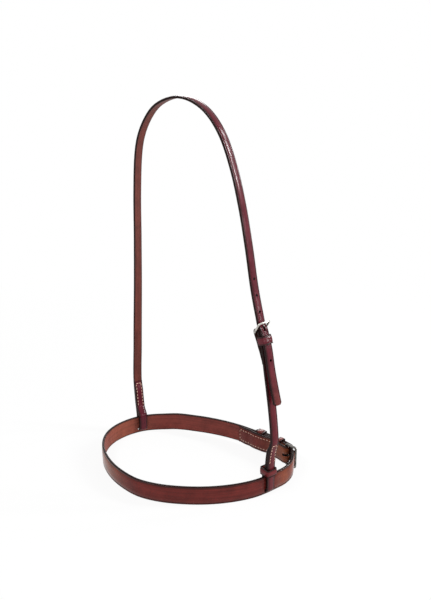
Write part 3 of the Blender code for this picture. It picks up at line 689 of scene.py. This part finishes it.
class NOSEBAND_OT_keepers(bpy.types.Operator):
    """Dress the keepers and the runner"""
    bl_idname = "noseband.keepers"
    bl_label = "Keepers and runner"

    def execute(self, context):
        for node, name, body in (("chin_front_keeper", "jaw_front_keeper", "nose_strap"),
                                 ("chin_rear_keeper", "jaw_rear_keeper", "nose_strap"),
                                 ("head_keeper", "cheek_keeper", "head_straps"),
                                 ("near_loop_runner", "loop_runner", "runner")):
            dress_keeper(node, name, body)
        return {"FINISHED"}


def heel_of(joint):
    """The heel bar of a buckle: a point on its axis and the axis itself."""
    found = next(each for each in frame["joints"] if each["name"] == joint)
    return Vector(found["pos_m"]), Vector(found["axis"])


def plate(obj, painted_dark_reflection):
    obj.data.materials.append(finish_named("metal"))
    keep_values(obj, "painted_dark_reflection", [painted_dark_reflection] * len(obj.data.vertices))
    bpy.ops.object.shade_smooth()


def buckle_frame(node, name, joint, body, wire, painted_dark_reflection):
    """A rectangular frame of round wire, bent to soft corners. The wire is given by its radius."""
    heel, across = heel_of(joint)
    points = [vertex.co - heel for vertex in frame["nodes"][node].data.vertices]
    # The points of the CAD frame that are farthest from the heel bar show where the frame lies
    far = [point - across * point.dot(across) for point in points]
    longest = max(point.length for point in far)
    along = sum((point for point in far if point.length > longest - wire), Vector()).normalized()
    length = longest - wire
    half = max(abs(point.dot(across)) for point in points) - wire
    bpy.ops.mesh.primitive_plane_add(size=1)
    obj = bpy.context.object
    obj.name = name
    bpy.ops.object.mode_set(mode="EDIT")
    bpy.ops.transform.resize(value=(length, 2 * half, 1))
    bpy.ops.transform.translate(value=(length / 2, 0, 0))
    bpy.ops.mesh.bevel(affect="VERTICES", offset=CORNER_BEND, segments=CORNER_STEPS)
    bpy.ops.mesh.delete(type="ONLY_FACE")
    bpy.ops.object.mode_set(mode="OBJECT")
    bpy.ops.object.convert(target="CURVE")
    obj = bpy.context.object
    obj.data.bevel_depth = wire
    obj.data.bevel_resolution = WIRE_STEPS
    bpy.ops.object.convert(target="MESH")
    obj = bpy.context.object
    place = Matrix((along, across, along.cross(across))).transposed().to_4x4()
    place.translation = heel
    obj.data.transform(place)
    merge_skin(obj)
    bpy.ops.object.mode_set(mode="OBJECT")
    obj.data.materials.clear()
    plate(obj, painted_dark_reflection)
    settle(obj, body, "nickel_plate", node)


def buckle_tongue(node, name, joint, body, painted_dark_reflection):
    """A tongue of the same wire, rolled round the heel bar and tapered towards its tip."""
    heel = heel_of(joint)[0]
    obj = copy_of(node, name)
    reach = max((vertex.co - heel).length for vertex in obj.data.vertices)
    bpy.context.tool_settings.mesh_select_mode = (True, False, False)
    for vertex in obj.data.vertices:
        vertex.select = (vertex.co - heel).length > reach - TIP_LENGTH
    bpy.ops.object.mode_set(mode="EDIT")
    bpy.ops.transform.resize(value=(TIP_SHARE,) * 3, use_proportional_edit=True,
                             proportional_edit_falloff="SMOOTH", proportional_size=TAPER_LENGTH)
    bpy.ops.object.mode_set(mode="OBJECT")
    rounding = obj.modifiers.new("rounding", "SUBSURF")
    rounding.levels = rounding.render_levels = TONGUE_ROUNDING
    bpy.ops.object.modifier_apply(modifier="rounding")
    plate(obj, painted_dark_reflection)
    settle(obj, body, "nickel_plate", node)


class NOSEBAND_OT_buckles(bpy.types.Operator):
    """Make the frames and tongues of both buckles"""
    bl_idname = "noseband.buckles"
    bl_label = "Buckles"

    def execute(self, context):
        # The jaw buckle carries a strong painted dark reflection of the leather round it, and the cheek
        # buckle none
        for place, node, wire, painted_dark_reflection in (("jaw", "chin", 1.6 * MM, 0.85), ("cheek", "head", 1.4 * MM, 0.0)):
            buckle_frame(f"{node}_buckle_frame", f"{place}_buckle_frame", f"{place}_frame_lift",
                         f"{place}_frame", wire, painted_dark_reflection)
            buckle_tongue(f"{node}_buckle_tongue", f"{place}_buckle_tongue", f"{place}_tongue_lift",
                          f"{place}_tongue", painted_dark_reflection)
        return {"FINISHED"}


def thread_stops(node):
    """The places where a CAD thread enters the leather, in order along the seam."""
    points = [vertex.co.copy() for vertex in frame["nodes"][node].data.vertices]
    stops = []
    while points:
        ring = [point for point in points if (point - points[0]).length < RING_REACH]
        stops.append(sum(ring, Vector()) / len(ring))
        points = [point for point in points if (point - points[0]).length >= RING_REACH]
    # The seam starts where the fewest holes are near
    line = [min(stops, key=lambda stop: sum((stop - other).length < PITCH_REACH for other in stops))]
    stops.remove(line[0])
    while stops:
        line.append(min(stops, key=lambda stop: (stop - line[-1]).length))
        stops.remove(line[-1])
    return line


def seam(node, name, body, strap):
    """Single stitches along a seam, each a short length of thread pulled down into its holes."""
    sizes = bpy.context.scene.noseband_sizes
    stops = thread_stops(node)
    leather = bpy.data.objects[strap]
    # A ball of diameter 1 takes the sizes of a stitch as its scale
    bpy.ops.mesh.primitive_uv_sphere_add(segments=STITCH_STEPS, ring_count=STITCH_STEPS, radius=0.5)
    model = bpy.context.object
    bpy.ops.object.mode_set(mode="EDIT")
    bpy.ops.mesh.select_all(action="SELECT")
    bpy.ops.transform.resize(value=(sizes.stitch_width, sizes.stitch_width * STITCH_FLATNESS,
                                    sizes.stitch_length))
    bpy.ops.object.mode_set(mode="OBJECT")
    copies = []
    for start, end in zip(stops, stops[1:]):
        surface, outward = leather.closest_point_on_mesh((start + end) / 2)[1:3]
        along = (end - start).normalized()
        up = (outward - along * outward.dot(along)).normalized()
        place = Matrix((along.cross(up), up, along)).transposed().to_4x4() @ STITCH_SLANT
        place.translation = surface + up * STITCH_LIFT
        stitch = model.copy()
        stitch.data = model.data.copy()
        stitch.data.transform(place)
        bpy.context.scene.collection.objects.link(stitch)
        copies.append(stitch)
    bpy.data.objects.remove(model)
    bpy.ops.object.select_all(action="DESELECT")
    for stitch in copies:
        stitch.select_set(True)
    bpy.context.view_layer.objects.active = copies[0]
    bpy.ops.object.join()
    obj = bpy.context.object
    obj.name = name
    obj.data.materials.append(finish_named("thread"))
    bpy.ops.object.shade_smooth()
    settle(obj, body, "waxed_thread", node)


class NOSEBAND_OT_seams(bpy.types.Operator):
    """Sew the two buckle turns and the two loops"""
    bl_idname = "noseband.seams"
    bl_label = "Stitching"

    def execute(self, context):
        for node, name, body, strap in (
                ("chin_buckle_thread", "jaw_turn_stitches", "nose_strap", "nose_strap"),
                ("head_buckle_thread", "cheek_turn_stitches", "head_straps", "cheek_strap"),
                ("near_loop_outer_thread", "near_loop_outer_stitches", "head_straps", "cheek_strap"),
                ("near_loop_inner_thread", "near_loop_inner_stitches", "head_straps", "cheek_strap"),
                ("off_loop_outer_thread", "off_loop_outer_stitches", "head_straps", "crown_strap"),
                ("off_loop_inner_thread", "off_loop_inner_stitches", "head_straps", "crown_strap")):
            seam(node, name, body, strap)
        return {"FINISHED"}


def seen_directly(tree):
    """1 for what the camera sees, also in a mirror or through glass, and 0 for light that the object gets."""
    path = add_node(tree, "ShaderNodeLightPath")
    either = add_node(tree, "ShaderNodeMath", {0: path.outputs["Is Camera Ray"],
                                               1: path.outputs["Is Glossy Ray"]}, operation="MAXIMUM")
    seen = add_node(tree, "ShaderNodeMath", {0: either.outputs["Value"],
                                             1: path.outputs["Is Transmission Ray"]}, operation="MAXIMUM")
    return seen.outputs["Value"]


def pale_floor():
    """Matt white paper that glows to the eye, so that it fades into the backdrop and keeps a faint shadow."""
    material, tree, shader, place = new_material("white_paper")
    shader.inputs["Base Color"].default_value = colour_of(linear("EFEFEF"))
    shader.inputs["Roughness"].default_value = 0.9
    shader.inputs["Specular IOR Level"].default_value = 0.0
    distance = add_node(tree, "ShaderNodeVectorMath", {0: place}, operation="LENGTH")
    fade = add_node(tree, "ShaderNodeMapRange", {"Value": distance.outputs["Value"], "From Min": FADE_START,
                                                 "From Max": FADE_END, "To Min": PAPER_GLOW, "To Max": 1.0})
    share = add_node(tree, "ShaderNodeMath", {0: seen_directly(tree), 1: fade.outputs["Result"]},
                     operation="MULTIPLY")
    glow = add_node(tree, "ShaderNodeEmission", {"Color": WHITE, "Strength": 1.0})
    both = add_node(tree, "ShaderNodeMixShader", {0: share.outputs["Value"], 1: shader.outputs["BSDF"],
                                                  2: glow.outputs["Emission"]})
    tree.links.new(both.outputs["Shader"], tree.nodes["Material Output"].inputs["Surface"])
    return material


def white_studio():
    """A white room: plain soft light on the object, and white to the eye."""
    world = bpy.data.worlds.new("studio")
    world.use_nodes = True
    tree = world.node_tree
    strength = add_node(tree, "ShaderNodeMapRange", {"Value": seen_directly(tree), "To Min": ROOM_LIGHT,
                                                     "To Max": 1.0})
    back = tree.nodes["Background"]
    back.inputs["Color"].default_value = WHITE
    tree.links.new(strength.outputs["Result"], back.inputs["Strength"])
    return world


class NOSEBAND_OT_stage(bpy.types.Operator):
    """Add the floor, the lights and the camera"""
    bl_idname = "noseband.stage"
    bl_label = "Floor, lights and camera"

    def execute(self, context):
        scene = context.scene
        scene.view_settings.view_transform = "Standard"
        bpy.ops.object.select_all(action="DESELECT")
        bpy.ops.mesh.primitive_plane_add(size=FLOOR_SIZE)
        floor = context.object
        floor.name = "floor"
        floor.data.materials.append(pale_floor())
        scene.world = white_studio()
        camera = bpy.data.objects.new("camera", bpy.data.cameras.new("camera"))
        scene.collection.objects.link(camera)
        camera.data.lens = CAMERA_LENS
        camera.data.sensor_width = CAMERA_SENSOR
        camera.location = CAMERA_PLACE
        camera.rotation_euler = (math.radians(90 - CAMERA_DOWN), 0, math.radians(CAMERA_TURN))
        scene.camera = camera
        for name, place, power, size in LAMPS:
            light = bpy.data.objects.new(name, bpy.data.lights.new(name, "AREA"))
            scene.collection.objects.link(light)
            light.data.energy = power
            light.data.shape = "RECTANGLE"
            light.data.size, light.data.size_y = size
            light.location = place
            light.rotation_euler = (LAMPS_AIM - light.location).to_track_quat("-Z", "Y").to_euler()
        return {"FINISHED"}


class NOSEBAND_PT_panel(bpy.types.Panel):
    """The noseband's settings and its building steps"""
    bl_label = "Noseband"
    bl_space_type = "VIEW_3D"
    bl_region_type = "UI"
    bl_category = "Noseband"

    def draw(self, context):
        for group in (context.scene.noseband_sizes, context.scene.noseband_colours):
            column = self.layout.column()
            for name in group.__annotations__:
                column.prop(group, name)
        for step in STEPS:
            self.layout.operator(step.bl_idname)


STEPS = (NOSEBAND_OT_stage, NOSEBAND_OT_nose_strap, NOSEBAND_OT_head_straps, NOSEBAND_OT_keepers,
         NOSEBAND_OT_buckles, NOSEBAND_OT_seams)
CLASSES = (NosebandSizes, NosebandColours, *STEPS, NOSEBAND_PT_panel)


def register():
    for each in CLASSES:
        bpy.utils.register_class(each)
    bpy.types.Scene.noseband_sizes = PointerProperty(type=NosebandSizes)
    bpy.types.Scene.noseband_colours = PointerProperty(type=NosebandColours)


def unregister():
    del bpy.types.Scene.noseband_colours
    del bpy.types.Scene.noseband_sizes
    for each in reversed(CLASSES):
        bpy.utils.unregister_class(each)


def main():
    register()
    for step in STEPS:
        group, name = step.bl_idname.split(".")
        getattr(getattr(bpy.ops, group), name)()


if __name__ == "__main__":
    main()
